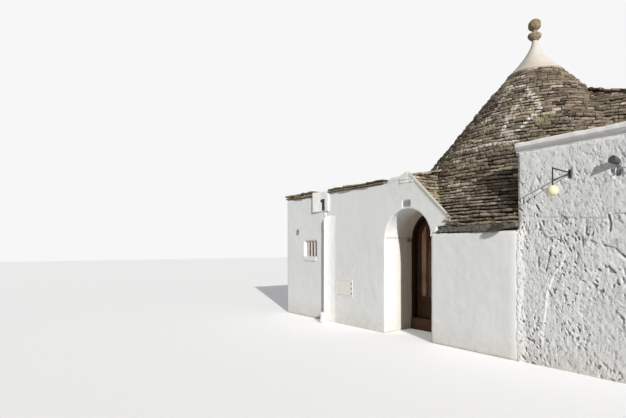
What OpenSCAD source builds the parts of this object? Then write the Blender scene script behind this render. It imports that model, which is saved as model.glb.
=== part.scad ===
// Trullo house: whitewashed walls, an arched doorway under a small gable,
// and a corbelled cone of limestone slabs with a plastered pinnacle.
// The origin is on the ground under the tip of the cone.
// +X runs to the right along the street front, +Y to the back, +Z up.

/* [House] */
// from the cone's axis to the left party wall's face
left_reach = 5050; // [4700:5:5400]
// from the cone's axis to the right party wall's face
right_reach = 3450; // [3380:5:4000]
// from the cone's axis to the street front
front_y = 3100; // [3000:5:3200]
// from the cone's axis to the back wall's face
back_y = 3400; // [3360:5:3600]
// half of the room's width under the cone
room_half = 2100; // [1900:10:2200]
// thickness of the wall under the cone's left side
core_wall_t = 1260; // [1250:10:1400]
// thickness of the outer walls away from the cone
wing_wall_t = 450; // [350:10:600]
// height of the flat roof behind its parapet
terrace_z = 2950; // [2850:10:3100]
// top of the walls under the stone coping
wall_top = 3035; // [3000:5:3200]
// thickness of the rough stone coping
coping_t = 90; // [60:5:140]
// inner floor over the street
floor_z = 240; // [150:5:300]

/* [Cone] */
// radius at the cone's foot
cone_foot_r = 3324; // [3200:1:3450]
// height of the cone's foot
cone_foot_z = 2110; // [2000:5:2200]
// radius where the cone steepens to its shoulder
cone_top_r = 824; // [700:1:950]
// height of that shoulder
cone_top_z = 5170; // [5000:5:5300]
// radius of the last course of slabs
cone_tip_r = 440; // [400:5:500]
// height of the last course
cone_tip_z = 5600; // [5500:5:5700]
// radius of the vault inside, at its foot
vault_foot_r = 2350; // [2200:10:2500]
// height of the vault inside
vault_top_z = 4750; // [4400:10:5000]

/* [Pinnacle] */
// radius of the plaster skirt
skirt_r = 458; // [400:2:500]
// height where the skirt ends in a neck
skirt_top_z = 6260; // [6100:5:6300]
// radius of the neck
neck_r = 48; // [40:1:60]
// radius of the stone dish
dish_r = 136; // [110:1:150]
// radius of the stone ball
ball_r = 122; // [100:1:140]
// top of the ball
pinnacle_z = 6740; // [6600:5:6800]

/* [Doorway] */
// middle of the doorway
door_x = -990; // [-1200:5:-900]
// clear width between the jambs
door_w = 1120; // [950:5:1250]
// radius of the arch
arch_r = 548; // [450:1:600]
// height of the springing line
spring_z = 1935; // [1800:5:2050]
// from the street front to the room
front_wall_t = 1000; // [900:10:1150]
// depth of the open porch in front of the door
porch_depth = 840; // [780:5:950]
// thickness of a door leaf
leaf_t = 50; // [40:1:60]
// width of a stile of the door leaves
stile_w = 95; // [70:1:120]
// height of the solid lower panel
panel_z = 700; // [500:10:900]

/* [Gable] */
// apex of the gable over the doorway
gable_x = -955; // [-1100:5:-850]
// height of the gable's wall
gable_z = 3150; // [3100:5:3300]
// right foot of the gable
gable_foot_x = -30; // [-200:5:100]
// depth of the gable's wall
gable_t = 130; // [100:5:200]
// how steeply the small roof's ridge climbs from the gable to the cone, in degrees
dormer_rise = 11.5; // [5:0.5:15]

/* [Left bay] */
// where the left bay ends and the corner pier begins
pier_x = -3395; // [-3700:5:-3300]
// how far the left bay stands in front of the street front
bay_out = 20; // [0:5:150]
// width of the barred window
window_w = 470; // [400:5:600]
// bottom of the barred window
window_z = 1500; // [1300:5:1600]
// height of the barred window
window_h = 400; // [300:5:500]
// middle of the barred window
window_x = -4020; // [-4300:5:-3900]

/* [Right wall] */
// left edge of the rough wall
rough_x = 1140; // [1000:5:1300]
// how far the rough wall stands behind the street front
rough_in = 60; // [0:5:100]
// underside of the rough wall's coping
rough_z = 3180; // [3000:5:3300]
// height of that coping
rough_coping_h = 150; // [100:5:200]
// height of the right roof's ridge where the walls' line crosses x = 1700
ridge_z = 4680; // [4300:5:4800]

/* [Hidden] */

$fn = 96;
cone_fn = 240;
alcove_half = 1300;
cut = 20;               // how far a cutter runs past a face
seam = 2;               // open seam between two pieces that lie against each other
core_x = room_half + core_wall_t;
inner_y = -front_y + front_wall_t;
bay_y = -front_y - bay_out;
bay_top = wall_top - 35;
rough_y = -front_y + rough_in;
bay_back_y = bay_y + wing_wall_t + bay_out;
rear_room_y = back_y - wing_wall_t;
door_l = door_x - door_w / 2;
door_r = door_x + door_w / 2;
vent_x = door_x - 105;
vent_w = 180;
vent_z = 2517;
vent_h = 128;
window_l = window_x - window_w / 2;
window_r = window_x + window_w / 2;
window_top = window_z + window_h;
window_rim = 30;
frame_w = 60;
frame_front_y = -front_y + porch_depth;
frame_back_y = inner_y - 16;
frame_arch_r = arch_r - seam;
leaf_gap = 8;
leaf_arch_r = frame_arch_r - frame_w - leaf_gap;
leaf_back_y = frame_back_y;
leaf_bottom_z = floor_z + 12;
meeting_gap = 10;
door_room_z = spring_z + frame_arch_r + 40;
hinge_y = inner_y - 5;
hinge_zs = [420, 1150, 1880];
spout_l = pier_x - 472;
spout_r = pier_x + 82;
spout_low = 2610;
spout_back = bay_y + 150;
eave_l = gable_foot_x - 277;
roof_slope = 18;
roof_pitch = 0.85;
roof_half = 2690;
cabinet_x = -3060;
cabinet_w = 540;
cabinet_z = 640;
cabinet_h = 372;
lamp_x = 1860;
lamp_arm_z = 2780;
lamp_out = 550;
globe_r = 73;
globe_z = 2483;

white = [0.90, 0.90, 0.88];
plaster = [0.84, 0.85, 0.86];
slab = [0.42, 0.38, 0.33];
old_stone = [0.50, 0.44, 0.37];
timber = [0.16, 0.10, 0.07];
glass = [0.62, 0.58, 0.50];
metal = [0.12, 0.12, 0.13];
grey = [0.55, 0.55, 0.55];

// a box between two opposite corners
module span(lo, hi) {
  translate(lo) cube(hi - lo);
}

// an outline in X and Z, extruded from y0 to y1
module across(y0, y1) {
  translate([0, y1, 0]) rotate([90, 0, 0]) linear_extrude(y1 - y0) children();
}

// outline of the cone's outside, from its foot to its last course
function cone_outline(grow) = [
  [0, cone_foot_z - grow], [cone_foot_r + 3 * grow, cone_foot_z - grow],
  [cone_top_r + 2 * grow, cone_top_z], [cone_tip_r + 2 * grow, cone_tip_z + grow],
  [0, cone_tip_z + grow]
];

// the whole cone as one mass, which walls and roofs are cut back to
module cone_mass(grow = seam) {
  rotate_extrude($fn = cone_fn) polygon(cone_outline(grow));
}

// upright sides with a half round top, as wide as two radii at the arch
module arch_outline(half, r, bottom) {
  translate([door_x - half, bottom]) square([2 * half, spring_z - bottom]);
  translate([door_x, spring_z]) circle(r = r);
}

// the gable's wall: a shallow left shoulder and a steep right slope
module gable_outline() {
  drop = gable_foot_x - gable_x;
  polygon([
    [door_l, spring_z], [gable_foot_x, spring_z],
    [gable_foot_x, gable_z - drop], [gable_x, gable_z],
    [gable_x - 230, gable_z - 75], [gable_x - 430, gable_z - 100],
    [door_l, wall_top]
  ]);
}

// the block over the doorway that carries the barrel vault of the porch
module porch_block(grow = 0) {
  span([door_l - grow, -front_y + gable_t - cut, spring_z - grow],
       [door_r + grow, inner_y + grow, 2700 + grow]);
}

module floor_slab() {
  color(old_stone) {
    span([-room_half, -room_half, 0], [room_half, room_half, floor_z]);
    span([-core_x - cut, -alcove_half, 0], [-room_half + cut, alcove_half, floor_z]);
    difference() {
      span([-left_reach + wing_wall_t, bay_back_y, 0], [-core_x, rear_room_y, floor_z]);
      span([pier_x, -front_y - cut, -cut], [0, inner_y, floor_z + cut]);
    }
  }
}

module threshold_step() {
  color(old_stone)
    span([door_l, frame_front_y - 30, 0], [door_r, inner_y, floor_z]);
}

module front_wall_left() {
  color(plaster) difference() {
    union() {
      span([pier_x, -front_y, 0], [door_l, inner_y, terrace_z]);
      span([pier_x, -front_y, 0], [door_l, -front_y + 300, wall_top]);
    }
    cone_mass();
    span([cabinet_x, -front_y - cut, cabinet_z],
         [cabinet_x + cabinet_w, -front_y + 180, cabinet_z + cabinet_h]);
  }
}

module front_wall_right() {
  color(plaster) difference() {
    span([door_r, -front_y, 0], [rough_x, inner_y, cone_foot_z - seam]);
    span([eave_l - seam, -front_y - cut, 2000 - seam],
         [rough_x + cut, -front_y + 220, cone_foot_z + cut]);
    span([door_r - cut, -front_y - cut, 2000],
         [gable_foot_x, -front_y + gable_t, cone_foot_z + cut]);
  }
}

module over_door_wall() {
  color(plaster) difference() {
    union() {
      difference() {
        across(-front_y, -front_y + gable_t) gable_outline();
        span([door_r, -front_y - cut, spring_z - cut],
             [gable_foot_x + cut, inner_y, 2000 + seam]);
      }
      porch_block();
    }
    across(-front_y - cut, inner_y + cut) arch_outline(arch_r, arch_r, 0);
    span([eave_l - seam, -front_y - cut, 1990],
         [gable_foot_x + cut, -front_y + 222, cone_foot_z + seam]);
    span([vent_x, -front_y - cut, vent_z], [vent_x + vent_w, -front_y + 50, vent_z + vent_h]);
  }
}

// a thin plaster edge that follows the gable's slopes, and a small pediment under its apex
module gable_cap() {
  edge = 63;
  drop = gable_foot_x - gable_x;
  proud = 35;
  relief = 22;
  color(white) {
    across(-front_y - proud, -front_y + 60) polygon([
      [gable_foot_x + 1, gable_z - drop], [gable_foot_x + 32, gable_z - drop + 32],
      [gable_x, gable_z + edge], [gable_x - 205, gable_z - 20],
      [gable_x - 385, gable_z - 15], [gable_x - 530, gable_z - 80],
      [gable_x - 530, gable_z - 106], [gable_x - 430, gable_z - 99],
      [gable_x - 230, gable_z - 74], [gable_x, gable_z]
    ]);
    across(-front_y - relief, -front_y) polygon([
      [gable_x - 190, gable_z - 64], [gable_x + 65, gable_z - 64], [gable_x, gable_z + 5]
    ]);
    for (band_z = [gable_z - 162, gable_z - 102])
      across(-front_y - relief, -front_y) polygon([
        [gable_x - 190, band_z], [gable_x + gable_z - band_z + 10, band_z],
        [gable_x + gable_z - band_z - 20, band_z + 30], [gable_x - 190, band_z + 30]
      ]);
  }
}

// the small roof's cross section, with its ridge at the origin
module dormer_outline() {
  run = 1200;
  left = 420;
  polygon([[-left, -run], [-left, -left], [0, 0], [run, -run]]);
}

module dormer_roof() {
  low = -front_y + gable_t + seam;
  color(slab) difference() {
    union() {
      intersection() {
        translate([gable_x, -front_y, gable_z - 18]) rotate([dormer_rise, 0, 0])
          across(0, 1600) dormer_outline();
        span([door_l + seam, low, 2300], [door_r, -1700, 5000]);
      }
      span([door_l + seam, low, 2500], [gable_x, -1700, terrace_z]);
    }
    cone_mass();
    porch_block(seam);
  }
}

module left_bay_wall() {
  color(plaster) difference() {
    union() {
      span([-left_reach, bay_y, 0], [pier_x - seam, bay_back_y, terrace_z]);
      span([-left_reach, bay_y, 0], [pier_x - seam, bay_y + 300, bay_top]);
    }
    span([window_l, bay_y - cut, window_z], [window_r, bay_back_y + cut, window_top]);
    span([spout_l - seam, bay_y - cut, spout_low - seam],
         [pier_x + cut, spout_back + seam, bay_top + cut]);
  }
}

module left_party_wall() {
  color(plaster) {
    span([-left_reach, bay_back_y, 0],
         [-left_reach + wing_wall_t, rear_room_y, terrace_z]);
    span([-left_reach, bay_back_y, 0],
         [-left_reach + 300, rear_room_y, wall_top]);
  }
}

// the thick wall under the cone's left side, open as one wide low arch
module alcove_arch() {
  half = alcove_half;
  rise = 500;
  r = (half * half + rise * rise) / (2 * rise);
  low = 1350;
  color(white) difference() {
    union() {
      span([-core_x, inner_y, 0], [-room_half, room_half, terrace_z]);
      span([-room_half - 1, inner_y, cone_foot_z], [-1300, room_half, terrace_z]);
    }
    span([-core_x - cut, -half, -cut], [-room_half + cut, half, low]);
    intersection() {
      translate([-core_x - cut, 0, low + rise - r]) rotate([0, 90, 0])
        cylinder(r = r, h = core_wall_t + 2 * cut);
      span([-core_x - cut, -half, low - cut], [-room_half + cut, half, low + rise + cut]);
    }
    cone_mass();
  }
}

module back_wall() {
  color(plaster) difference() {
    union() {
      span([-left_reach, rear_room_y, 0], [right_reach, back_y, terrace_z]);
      span([-core_x, room_half, 0], [right_reach, rear_room_y, terrace_z]);
      span([-left_reach, back_y - 300, 0], [right_reach, back_y, wall_top]);
    }
    cone_mass();
  }
}

module right_front_wall() {
  color(white) {
    difference() {
      union() {
        span([rough_x, rough_y, 0], [right_reach, inner_y, terrace_z]);
        span([rough_x, rough_y, 0], [right_reach, -front_y + 400, rough_z]);
      }
      difference() {
        cone_mass();
        span([rough_x, -front_y - 400, 0], [right_reach, rough_y + 90, rough_z]);
      }
    }
  }
}

// the right roof's mass: a straight ridge that falls away from the cone
module ridge_mass(lift, half) {
  translate([1700, 0, ridge_z + lift]) rotate([0, roof_slope, 0]) rotate([90, 0, 90])
    translate([0, 0, -1800]) linear_extrude(5000)
      polygon([[-half, -half * roof_pitch], [0, 0], [half, -half * roof_pitch],
               [half, -5000], [-half, -5000]]);
}

module right_party_wall() {
  color(plaster) {
    difference() {
      union() {
        span([room_half, inner_y, 0], [right_reach, room_half, terrace_z]);
        span([1300, inner_y, cone_foot_z], [room_half + 1, room_half, terrace_z]);
      }
      cone_mass();
    }
    intersection() {
      span([right_reach - 400, -roof_half, terrace_z - 1], [right_reach, roof_half, 5000]);
      ridge_mass(60, 3200);
    }
  }
}

module saddle_roof() {
  color(slab) difference() {
    intersection() {
      span([0, -roof_half, terrace_z], [right_reach - 400, roof_half, 5200]);
      ridge_mass(0, 3200);
    }
    cone_mass();
    span([-cut, -front_y, 0], [rough_x, 0, 5200]);
    span([-cut, 0, 0], [300, roof_half + cut, 5200]);
  }
}

// a slender buttress with a rounded head and a hollow sweep into the street front
module corner_pier() {
  nose = 40;
  out = 106;
  reach = 330;
  bevel = 18;
  top = 2480;
  sweep = reach - nose;
  lip = 4;
  rise = out - bevel - lip;
  sweep_r = (sweep * sweep + rise * rise) / (2 * rise);
  color(white) intersection() {
    linear_extrude(top) difference() {
      polygon([
        [pier_x, -front_y], [pier_x, -front_y - out + bevel],
        [pier_x + bevel, -front_y - out], [pier_x + nose - bevel, -front_y - out],
        [pier_x + nose, -front_y - out + bevel], [pier_x + reach, -front_y - out + bevel],
        [pier_x + reach, -front_y]
      ]);
      translate([pier_x + reach, -front_y - lip - sweep_r]) circle(r = sweep_r, $fn = 180);
    }
    union() {
      span([pier_x - cut, -front_y - out - cut, 0], [pier_x + reach + cut, -front_y, top - out]);
      translate([pier_x - cut, -front_y, top - out]) rotate([0, 90, 0])
        cylinder(r = out, h = reach + 2 * cut, $fn = 64);
    }
  }
}

module pier_foot_stone() {
  color(white) translate([pier_x + 126, -front_y - 206, 0])
    cylinder(r1 = 95, r2 = 80, h = 225);
}

// a plastered block under the coping, with the rain water's slot in its front
module spout_block() {
  proud = 15;
  high = wall_top + 35;
  slot_l = spout_l + 330;
  slot_w = 95;
  slot_top = spout_low + 285;
  slot_back = bay_y + 110;
  color(white) difference() {
    union() {
      span([spout_l, bay_y - proud, spout_low], [pier_x - seam, spout_back, high]);
      span([spout_l, bay_y - proud, spout_low], [spout_r, -front_y, high]);
      span([spout_l, bay_y - proud, wall_top + seam], [spout_r, -front_y + 200, high]);
    }
    span([slot_l, bay_y - proud - cut, spout_low + 12], [slot_l + slot_w, slot_back, slot_top]);
    span([slot_l - 40, bay_y - proud - cut, slot_top - 62],
         [slot_l + cut, slot_back, slot_top - 15]);
  }
}

module left_coping() {
  color(slab)
    span([spout_r + seam, -front_y - 80, wall_top],
         [door_l - seam, -front_y + 320, wall_top + coping_t]);
}

module bay_coping() {
  color(slab)
    span([-left_reach - 20, bay_y - 70, bay_top],
         [spout_l - seam, bay_y + 320, bay_top + coping_t + 40]);
}

module party_coping() {
  color(slab)
    span([-left_reach, bay_y + 320 + seam, wall_top],
         [-left_reach + 320, back_y - 322, wall_top + coping_t]);
}

module back_coping() {
  color(slab)
    span([-left_reach, back_y - 320, wall_top],
         [right_reach, back_y + 60, wall_top + coping_t]);
}

module right_coping() {
  color(white)
    span([rough_x - 42, rough_y - 65, rough_z],
         [right_reach, -front_y + 400, rough_z + rough_coping_h]);
}

module left_roof_deck() {
  color(old_stone) difference() {
    span([-left_reach + wing_wall_t, bay_back_y, terrace_z - 200],
         [-core_x, rear_room_y, terrace_z]);
    span([pier_x, -front_y - cut, 0], [0, inner_y, terrace_z + cut]);
  }
}

module cone_roof() {
  color(slab) difference() {
    rotate_extrude($fn = cone_fn) polygon([
      [vault_foot_r, cone_foot_z], [cone_foot_r, cone_foot_z],
      [cone_top_r, cone_top_z], [cone_tip_r, cone_tip_z],
      [0, cone_tip_z], [0, vault_top_z], [280, vault_top_z]
    ]);
    across(-front_y - 500, -front_y + gable_t + seam) gable_outline();
    porch_block(seam);
    across(-front_y - 500, -front_y + 62) offset(delta = 75) gable_outline();
    span([door_l, inner_y - cut, cone_foot_z - cut], [door_r, inner_y + 560, door_room_z]);
    span([rough_x - seam, -front_y - 500, 0], [right_reach, -front_y + 152, 5000]);
    span([-right_reach, -front_y - 500, 0], [right_reach, -front_y - 12, 5000]);
  }
}

module front_eave() {
  color(old_stone) across(-front_y - 22, -front_y + 220) polygon([
    [eave_l, 2004], [gable_foot_x + 330, 2000], [rough_x - 420, 2002],
    [rough_x - seam, 2055], [rough_x - seam, cone_foot_z - seam],
    [gable_foot_x - 150, cone_foot_z - seam]
  ]);
}

// radius of the plaster skirt at a height, hollow like a candle's foot
function skirt_radius(t) = neck_r + (skirt_r - neck_r) * pow(1 - t, 1.6);

module pinnacle_skirt() {
  steps = 14;
  rise = skirt_top_z - cone_tip_z;
  color(white) rotate_extrude($fn = 64) polygon(concat(
    [[0, cone_tip_z]],
    [for (i = [0:steps]) [skirt_radius(i / steps), cone_tip_z + rise * i / steps]],
    [[0, skirt_top_z]]
  ));
}

module pinnacle_dish() {
  color(old_stone) rotate_extrude($fn = 64) polygon([
    [0, skirt_top_z], [neck_r + 12, skirt_top_z], [dish_r - 20, skirt_top_z + 60],
    [dish_r, skirt_top_z + 110], [dish_r - 8, skirt_top_z + 150],
    [neck_r, skirt_top_z + 165], [neck_r, skirt_top_z + 225], [0, skirt_top_z + 225]
  ]);
}

module pinnacle_ball() {
  low = skirt_top_z + 225;
  color(old_stone) intersection() {
    translate([0, 0, pinnacle_z - ball_r - 8]) sphere(r = ball_r + 8);
    span([-ball_r, -ball_r, low], [ball_r, ball_r, pinnacle_z]);
    translate([0, 0, low]) cylinder(r = ball_r, h = 300);
  }
}

module door_frame() {
  color(timber) difference() {
    across(frame_front_y, frame_back_y)
      arch_outline(door_w / 2 - seam, frame_arch_r, floor_z);
    across(frame_front_y - cut, frame_back_y + cut)
      arch_outline(frame_arch_r - frame_w, frame_arch_r - frame_w, floor_z - cut);
  }
}

// half of the arched door, with the opening for its tall pane
module leaf(side) {
  color(timber) intersection() {
    difference() {
      across(leaf_back_y - leaf_t, leaf_back_y)
        arch_outline(leaf_arch_r, leaf_arch_r, leaf_bottom_z);
      across(leaf_back_y - leaf_t - cut, leaf_back_y + cut) pane_outline(side, 0);
      leaf_field(side, 40, leaf_bottom_z + 110, panel_z - 60);
    }
    leaf_side(side);
  }
}

// everything on one side of the meeting line
module leaf_side(side) {
  span([side < 0 ? door_x - 1000 : door_x + meeting_gap / 2, inner_y - 400, 0],
       [side < 0 ? door_x - meeting_gap / 2 : door_x + 1000, inner_y + 100, 4000]);
}

// the shallow sunk field of the lower panel
module leaf_field(side, deep, low, high) {
  near = meeting_gap / 2 + stile_w;
  far = leaf_arch_r - stile_w;
  span([side < 0 ? door_x - far : door_x + near, leaf_back_y - leaf_t - cut, low],
       [side < 0 ? door_x - near : door_x + far, leaf_back_y - deep, high]);
}

module pane_outline(side, inset) {
  near = meeting_gap / 2 + stile_w + inset;
  intersection() {
    arch_outline(leaf_arch_r - stile_w - inset, leaf_arch_r - stile_w - inset,
                 panel_z + inset);
    translate([side < 0 ? door_x - 1000 : door_x + near, 0]) square([1000 - near, 4000]);
  }
}

// a hinge's round knuckle on the turning line, with the flap that carries it
module knuckle(side, low, flap) {
  pin_x = door_x + side * (leaf_arch_r + 3);
  length = 45;
  translate([pin_x, hinge_y, low]) cylinder(r = 6, h = length, $fn = 32);
  span([min(pin_x, pin_x + side * flap), leaf_back_y, low],
       [max(pin_x, pin_x + side * flap), hinge_y - 2, low + length]);
}

module door_leaf_left() {
  leaf(-1);
  color(timber) for (z = hinge_zs) knuckle(-1, z, -40);
}

module door_leaf_right() {
  leaf(1);
  color(timber) for (z = hinge_zs) knuckle(1, z, -40);
}

module door_hinges() {
  color(metal) for (side = [-1, 1], z = hinge_zs) difference() {
    knuckle(side, z + 50, 45);
    span([door_x - leaf_arch_r, -front_y, z], [door_x + leaf_arch_r, leaf_back_y, z + 100]);
  }
}

module door_glass(side) {
  color(glass) across(leaf_back_y - leaf_t / 2 - 3, leaf_back_y - leaf_t / 2 + 3)
    pane_outline(side, 0);
}

module door_glass_left() {
  door_glass(-1);
}

module door_glass_right() {
  door_glass(1);
}

module door_handle() {
  face = leaf_back_y - leaf_t;
  grip_x = door_x + meeting_gap / 2 + stile_w / 2;
  color(metal) {
    span([grip_x - 18, face - 6, 1060], [grip_x + 18, face, 1240]);
    translate([grip_x, face - 5, 1180]) rotate([90, 0, 0]) cylinder(r = 9, h = 45, $fn = 32);
    span([grip_x - 9, face - 58, 1170], [grip_x + 110, face - 42, 1190]);
  }
}

// a narrow rim deep in the opening, and a sill board that covers the wall under it
module window_frame() {
  deep = 75;
  sill_t = 14;
  color(white) {
    difference() {
      span([window_l, bay_y + deep, window_z], [window_r, bay_y + deep + 60, window_top]);
      span([window_l + window_rim, bay_y, window_z + window_rim],
           [window_r - window_rim, bay_y + 300, window_top - window_rim]);
    }
    span([window_l, bay_y - sill_t, window_z], [window_r, bay_y + deep + cut, window_z + sill_t]);
    span([window_l, bay_y - sill_t, window_z - 88], [window_r, bay_y, window_z + sill_t]);
  }
}

module window_pane() {
  deep = 110;
  color(glass)
    span([window_l + window_rim, bay_y + deep, window_z + window_rim],
         [window_r - window_rim, bay_y + deep + 6, window_top - window_rim]);
}

module vent_grille() {
  rim = 14;
  slots = 5;
  pitch = (vent_h - 2 * rim) / slots;
  color(grey) difference() {
    span([vent_x + seam, -front_y + 18, vent_z + seam],
         [vent_x + vent_w - seam, -front_y + 34, vent_z + vent_h - seam]);
    for (i = [0:slots - 1])
      span([vent_x + rim, -front_y, vent_z + rim + i * pitch + 5],
           [vent_x + vent_w - rim, -front_y + 60, vent_z + rim + (i + 1) * pitch - 5]);
  }
}

module cabinet_box() {
  wall = 12;
  lo = [cabinet_x + seam, -front_y - 3, cabinet_z + seam];
  hi = [cabinet_x + cabinet_w - seam, -front_y + 170, cabinet_z + cabinet_h - seam];
  color(grey) difference() {
    span(lo, hi);
    span(lo + [wall, -cut, wall], hi - [wall, wall, wall]);
  }
}

module cabinet_door() {
  gap = 24;
  color(white) difference() {
    union() {
      span([cabinet_x + gap, -front_y - 4, cabinet_z + gap],
           [cabinet_x + cabinet_w - gap, -front_y - 1, cabinet_z + cabinet_h - gap]);
      for (hinge_z = [cabinet_z + 70, cabinet_z + cabinet_h - 110])
        translate([cabinet_x + cabinet_w - gap, -front_y - 6, hinge_z])
          cylinder(r = 4, h = 40, $fn = 32);
    }
    translate([cabinet_x + 60, -front_y - 10, cabinet_z + cabinet_h / 2])
      rotate([-90, 0, 0]) cylinder(r = 8, h = 20, $fn = 32);
  }
}

module lamp_bracket() {
  drop = lamp_arm_z + 10 - globe_z - globe_r;
  plate = 12;
  color(metal) {
    span([lamp_x - plate, rough_y - plate, lamp_arm_z - 75],
         [lamp_x + plate, rough_y, lamp_arm_z + 45]);
    translate([lamp_x, rough_y - plate + 2, lamp_arm_z]) rotate([90, 0, 0])
      cylinder(r = 9, h = lamp_out - plate + 2, $fn = 24);
    translate([lamp_x, rough_y - lamp_out, globe_z + globe_r + 1])
      cylinder(r = 9, h = drop, $fn = 24);
    translate([lamp_x, rough_y - plate + 2, lamp_arm_z - 20]) rotate([104.5, 0, 0])
      cylinder(r = 7, h = lamp_out, $fn = 24);
  }
}

module lamp_globe() {
  color([0.93, 0.90, 0.76]) translate([lamp_x, rough_y - lamp_out, globe_z])
    sphere(r = globe_r);
}

module wall_spotlight() {
  spot_x = 2440;
  stem_y = rough_y - 40;
  color(metal) {
    span([spot_x - 20, rough_y - 12, 2660], [spot_x + 20, rough_y, 2740]);
    translate([spot_x, stem_y, 2690]) cylinder(r = 11, h = 150, $fn = 24);
    span([spot_x - 11, stem_y - 5, 2690], [spot_x + 11, rough_y - 6, 2710]);
    translate([spot_x, stem_y + 10, 2835]) rotate([75, 0, -25])
      cylinder(r1 = 38, r2 = 52, h = 110, $fn = 32);
  }
}

module porch_light() {
  color(grey) span([door_l, -front_y + 655, 1850], [door_l + 45, -front_y + 775, 1922]);
}

floor_slab();
threshold_step();
front_wall_left();
front_wall_right();
over_door_wall();
gable_cap();
dormer_roof();
left_bay_wall();
left_party_wall();
alcove_arch();
back_wall();
right_front_wall();
right_party_wall();
corner_pier();
pier_foot_stone();
spout_block();
left_coping();
bay_coping();
party_coping();
back_coping();
right_coping();
left_roof_deck();
cone_roof();
front_eave();
saddle_roof();
pinnacle_skirt();
pinnacle_dish();
pinnacle_ball();
door_frame();
door_leaf_left();
door_leaf_right();
door_glass_left();
door_glass_right();
door_handle();
door_hinges();
window_frame();
window_pane();
vent_grille();
cabinet_box();
cabinet_door();
lamp_bracket();
lamp_globe();
wall_spotlight();
porch_light();
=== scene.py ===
import math
import random

import bpy
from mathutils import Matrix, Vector, noise


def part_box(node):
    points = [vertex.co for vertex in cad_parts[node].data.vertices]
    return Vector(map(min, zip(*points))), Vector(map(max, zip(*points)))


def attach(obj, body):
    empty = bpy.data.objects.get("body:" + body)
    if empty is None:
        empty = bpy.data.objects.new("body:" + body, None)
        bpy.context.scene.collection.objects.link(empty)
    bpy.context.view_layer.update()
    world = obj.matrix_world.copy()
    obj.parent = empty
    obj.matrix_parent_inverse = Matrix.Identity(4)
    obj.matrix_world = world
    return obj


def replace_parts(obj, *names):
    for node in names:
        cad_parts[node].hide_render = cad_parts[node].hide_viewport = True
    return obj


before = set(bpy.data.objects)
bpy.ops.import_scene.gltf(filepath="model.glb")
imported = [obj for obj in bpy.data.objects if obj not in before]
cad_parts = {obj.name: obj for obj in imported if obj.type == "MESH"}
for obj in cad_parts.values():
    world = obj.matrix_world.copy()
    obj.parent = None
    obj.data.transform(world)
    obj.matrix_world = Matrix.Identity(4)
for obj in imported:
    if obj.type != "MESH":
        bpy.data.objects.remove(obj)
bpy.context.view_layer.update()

# Walls and doorway, in metres, from the CAD pieces
FRONT_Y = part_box("front_wall_left")[0].y
RIGHT_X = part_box("right_front_wall")[1].x
ROUGH_X, ROUGH_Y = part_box("right_front_wall")[0].xy
ROUGH_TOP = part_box("right_coping")[0].z
BAY_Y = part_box("left_bay_wall")[0].y
TERRACE_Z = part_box("left_roof_deck")[1].z
DOOR_L, DOOR_R = (corner.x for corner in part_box("threshold_step"))
DOOR_X = (DOOR_L + DOOR_R) / 2
EAVE_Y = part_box("front_eave")[0].y

# The roofs, as in the CAD model
FOOT_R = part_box("cone_roof")[1].x
FOOT_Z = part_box("cone_roof")[0].z
SHOULDER_R, SHOULDER_Z = 0.824, 5.17
TIP_R, TIP_Z = 0.44, 5.60
SKIRT_FOOT_Z = TIP_Z - 0.115
GABLE_X, GABLE_Z = -0.955, 3.15
GABLE_BACK_Y = FRONT_Y + 0.13
SPRING_Z, PORCH_TOP = 1.935, 2.56
PARAPET_BACK_Y = FRONT_Y + 0.40
DORMER_Z, DORMER_RISE = 3.132, math.radians(11.5)
RIDGE_X, RIDGE_Z, RIDGE_FALL, RIDGE_PITCH = 1.70, 4.68, math.radians(18), 0.85
SADDLE_START_X = 0.5

# Courses of slabs
LOW_COURSE, HIGH_COURSE, TOP_COURSE = 0.065, 0.080, 0.074
SLAB_LENGTH = 0.20
SLAB_BACK = 0.14
# Half the gap between two slabs
GAP = 0.004
# How much of its course's height a slab fills, and how far it stands out
SLAB_FILL = (0.60, 0.92)
SLAB_PROUD = (-0.006, 0.022)
# Slabs that lie this far under another roof are left out
BURIED = 0.12

rng = random.Random(7)
noise.seed_set(7)


def clamp(value):
    """The value, kept between 0 and 1."""
    return min(1.0, max(0.0, value))


def step_up(low, high, value):
    """0 below a span, 1 above it, with a smooth rise between."""
    t = clamp((value - low) / (high - low))
    return t * t * (3 - 2 * t)


def new_object(name, data):
    """An object of the scene with its data."""
    obj = bpy.data.objects.new(name, data)
    bpy.context.collection.objects.link(obj)
    return obj


def cone_radius(z):
    """The cone's radius at a height."""
    if z < SHOULDER_Z:
        t = (z - FOOT_Z) / (SHOULDER_Z - FOOT_Z)
        return FOOT_R + (SHOULDER_R - FOOT_R) * t
    t = (z - SHOULDER_Z) / (TIP_Z - SHOULDER_Z)
    return SHOULDER_R + (TIP_R - SHOULDER_R) * t


def on_ring(angle, radius, z=0.0):
    """A point round the cone's axis; the angle goes from the street front towards +X."""
    return Vector((radius * math.sin(angle), -radius * math.cos(angle), z))


def ridge_height(x):
    """Height of the right roof's ridge."""
    return RIDGE_Z - math.tan(RIDGE_FALL) * (x - RIDGE_X)


def saddle_height(x, y):
    """Height of the right roof's surface."""
    return ridge_height(x) - RIDGE_PITCH / math.cos(RIDGE_FALL) * abs(y)


def dormer_ridge(y):
    """Height of the ridge over the doorway."""
    return DORMER_Z + math.tan(DORMER_RISE) * (y - FRONT_Y)


def dormer_height(x, y):
    """Height of the small roof over the doorway."""
    return dormer_ridge(y) - abs(x - GABLE_X) / math.cos(DORMER_RISE)


# Materials

# Tones of age and dirt on the plaster, of painted shade and painted bounce light, and where they
# lie
# painted warm bounce light for the porch's shaded inner faces
PORCH_PAINTED_BOUNCE = (0.61, 0.51, 0.39), (0.76, 0.66, 0.52)
# painted shade for the gable's sunlit right-hand edge
RIM_PAINTED_SHADE = (0.50, 0.48, 0.43)
JOINT_DIRT = (0.20, 0.18, 0.15)
SPLASH_DIRT = (0.56, 0.49, 0.39)
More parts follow.
